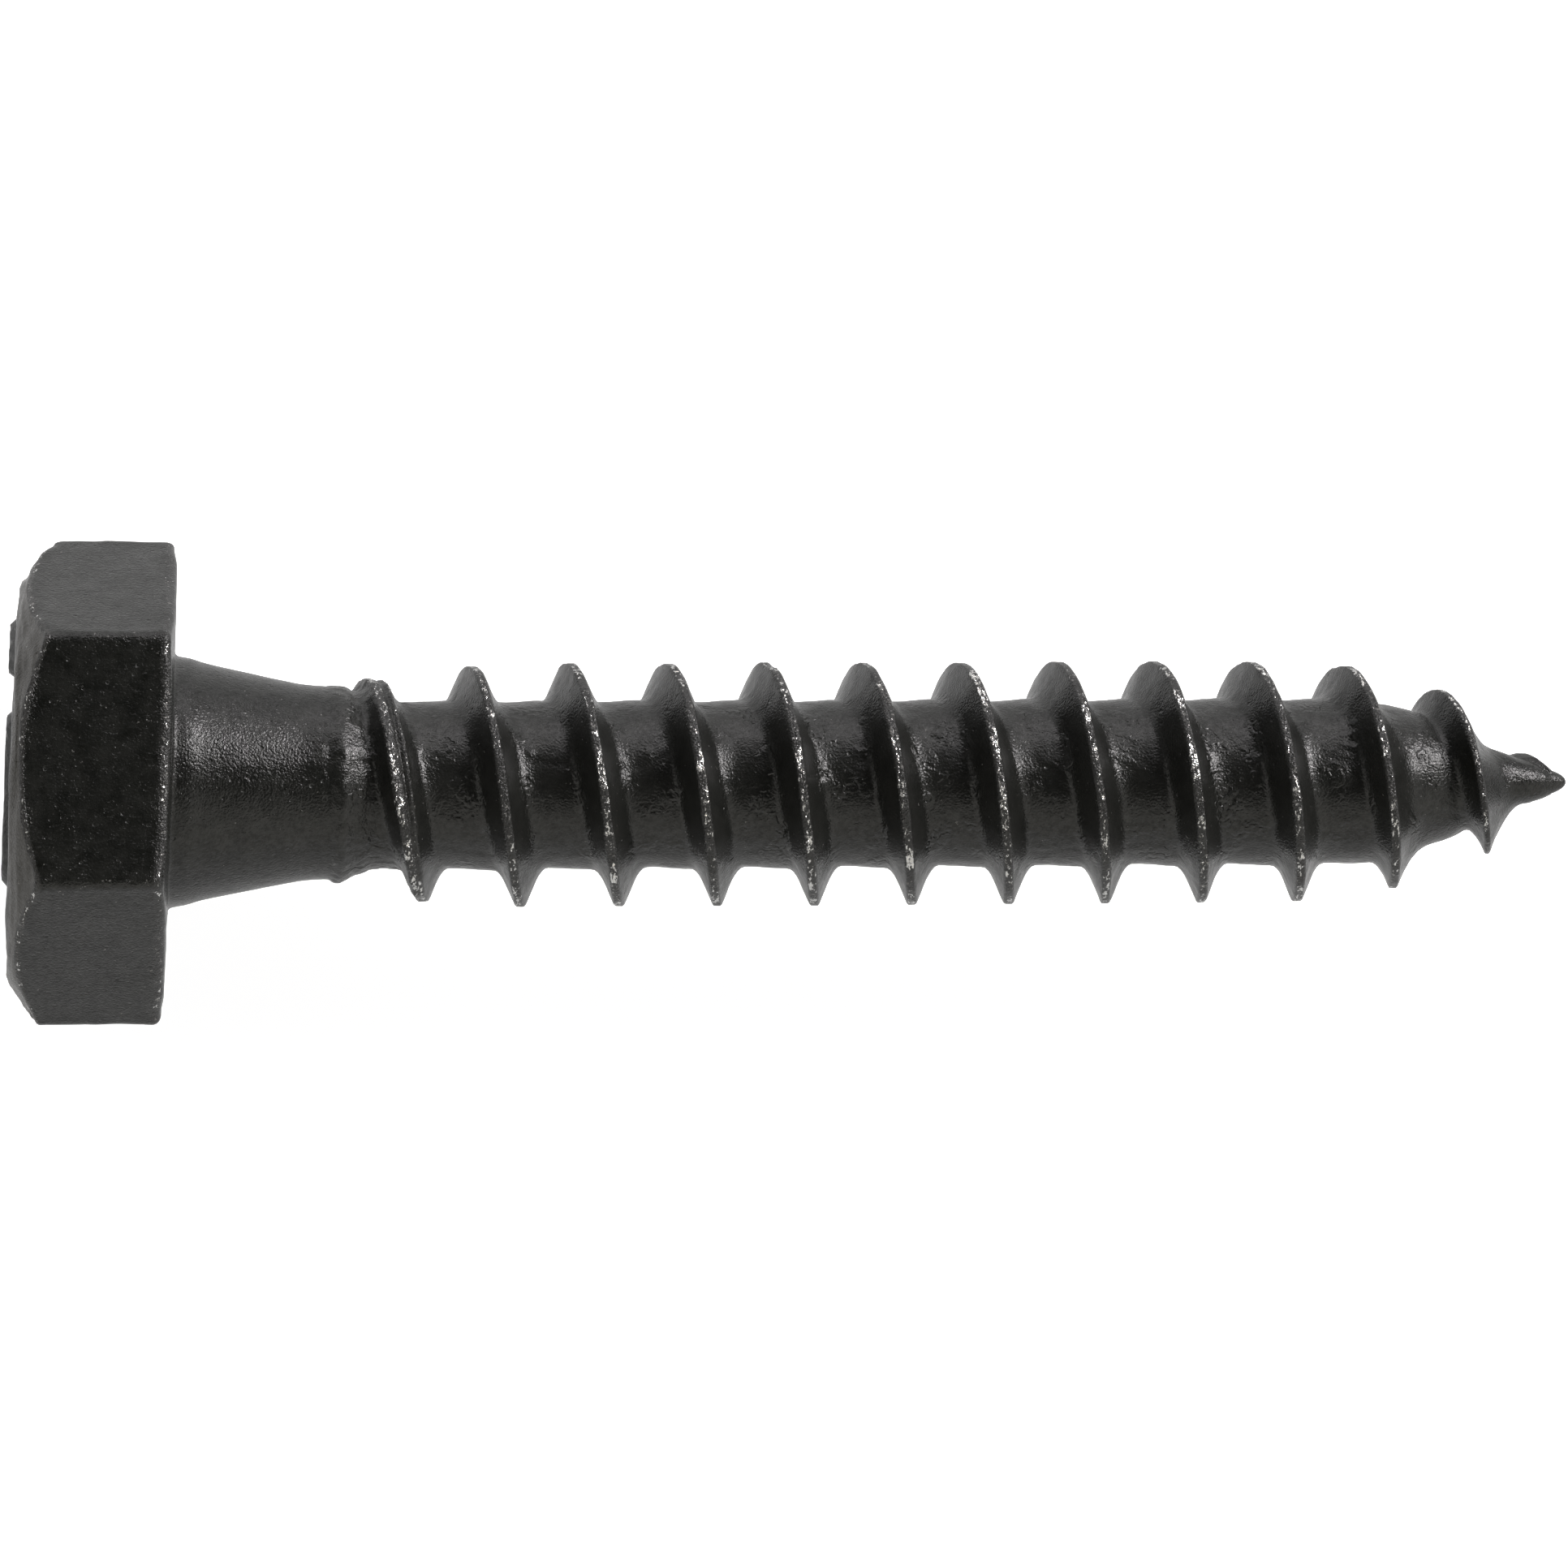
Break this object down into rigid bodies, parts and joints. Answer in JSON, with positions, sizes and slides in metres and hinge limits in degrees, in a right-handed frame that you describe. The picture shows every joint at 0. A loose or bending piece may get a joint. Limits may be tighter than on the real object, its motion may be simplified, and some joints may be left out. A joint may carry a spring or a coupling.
{
  "type": "hex lag screw",
  "caption": "Black hexagon-head lag screw with a chamfered head, tapered shank, coarse right-hand wood thread and gimlet point.",
  "frame": {"origin": "on the screw's axis, in the plane of the bearing face under the head", "axes": "+X along the axis from the head to the point, +Z out of one flat of the hexagon, +Y towards a corner of the hexagon"},
  "size_m": [0.0406, 0.0124, 0.0108],
  "materials": {
    "black_finish": "semi-gloss black coating on steel, worn to bare metal in specks along the thread crest and the head's edges"
  },
  "bodies": {
    "root": {"lag_screw": "black_finish"}
  },
  "joints": []
}
